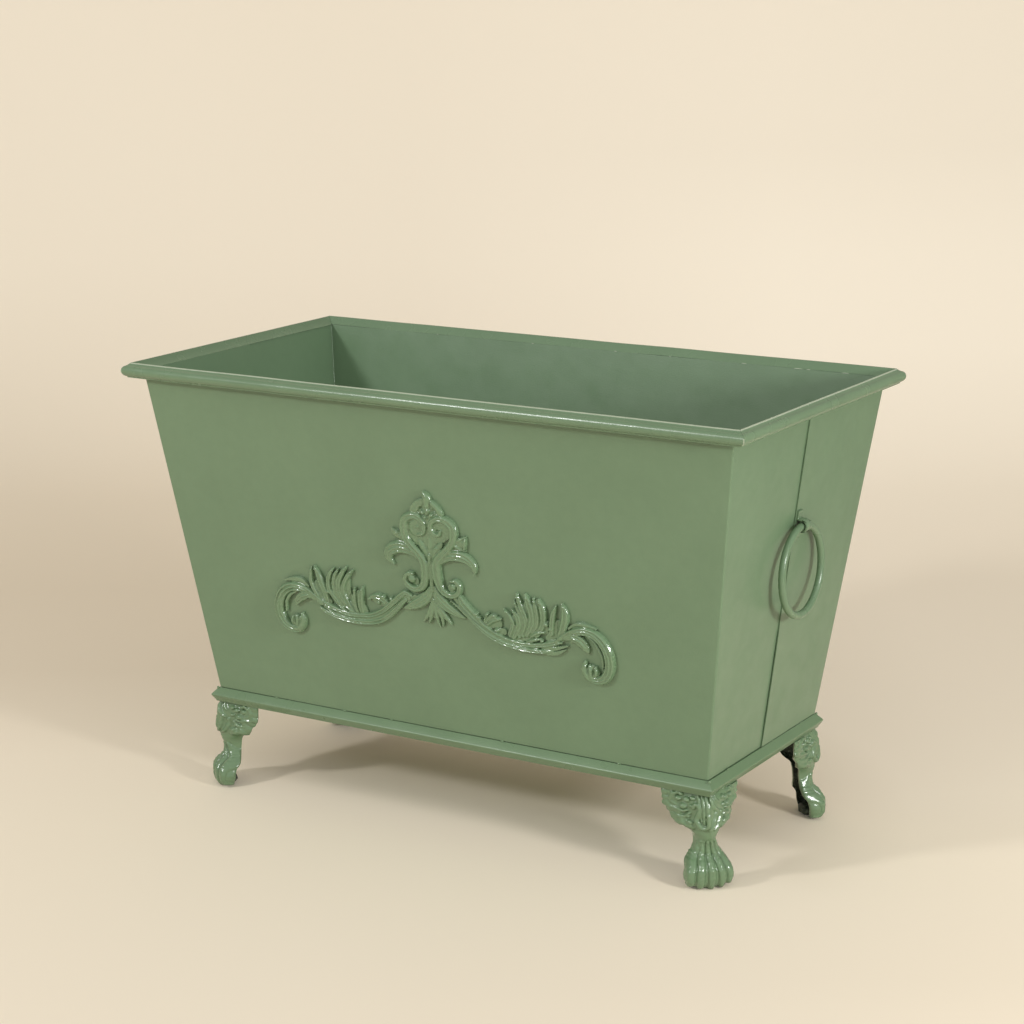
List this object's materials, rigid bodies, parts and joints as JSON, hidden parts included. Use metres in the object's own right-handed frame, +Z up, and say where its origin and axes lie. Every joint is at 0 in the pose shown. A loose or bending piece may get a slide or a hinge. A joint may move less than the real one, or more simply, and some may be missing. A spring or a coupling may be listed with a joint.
{
  "type": "planter",
  "caption": "Rectangular tapered sheet-metal planter with a rolled rim, moulded base, cast claw feet, scroll ornament on the front and swinging ring handles on the ends.",
  "frame": {"origin": "centre of the footprint, on the surface that the feet stand on", "axes": "+X along the length towards the right-hand ring, -Y out of the ornamented front, +Z up"},
  "size_m": [0.7616, 0.3886, 0.495],
  "materials": {
    "painted_sheet": "satin sage green paint on steel sheet",
    "painted_casting": "satin sage green paint on cast iron",
    "painted_wire": "satin sage green paint on steel wire",
    "zinc_fixings": "zinc plated steel"
  },
  "bodies": {
    "planter": {"front_half_shell": "painted_sheet", "back_half_shell": "painted_sheet", "floor_pan": "painted_sheet", "rim_front": "painted_sheet", "rim_back": "painted_sheet", "rim_left": "painted_sheet", "rim_right": "painted_sheet", "base_front": "painted_sheet", "base_back": "painted_sheet", "base_left": "painted_sheet", "base_right": "painted_sheet", "staple_left": "painted_sheet", "staple_right": "painted_sheet", "corner_plate_front_left": "zinc_fixings", "corner_plate_front_right": "zinc_fixings", "corner_plate_back_left": "zinc_fixings", "corner_plate_back_right": "zinc_fixings", "foot_front_left": "painted_casting", "foot_front_right": "painted_casting", "foot_back_left": "painted_casting", "foot_back_right": "painted_casting", "ornament_centre": "painted_casting", "ornament_left_scroll": "painted_casting", "ornament_right_scroll": "painted_casting", "foot_bolts": "zinc_fixings", "foot_washers": "zinc_fixings", "foot_nuts": "zinc_fixings"},
    "ring_handle_left": {"ring_left": "painted_wire"},
    "ring_handle_right": {"ring_right": "painted_wire"}
  },
  "joints": [
    {"name": "ring_left_swing", "type": "hinge", "parent": "planter", "child": "ring_handle_left", "pos_m": [-0.3528, 0, 0.35919], "axis": [0, 1, 0], "range_deg": [-8.5, 172]},
    {"name": "ring_right_swing", "type": "hinge", "parent": "planter", "child": "ring_handle_right", "pos_m": [0.3528, 0, 0.35919], "axis": [0, -1, 0], "range_deg": [-8.5, 172]}
  ]
}
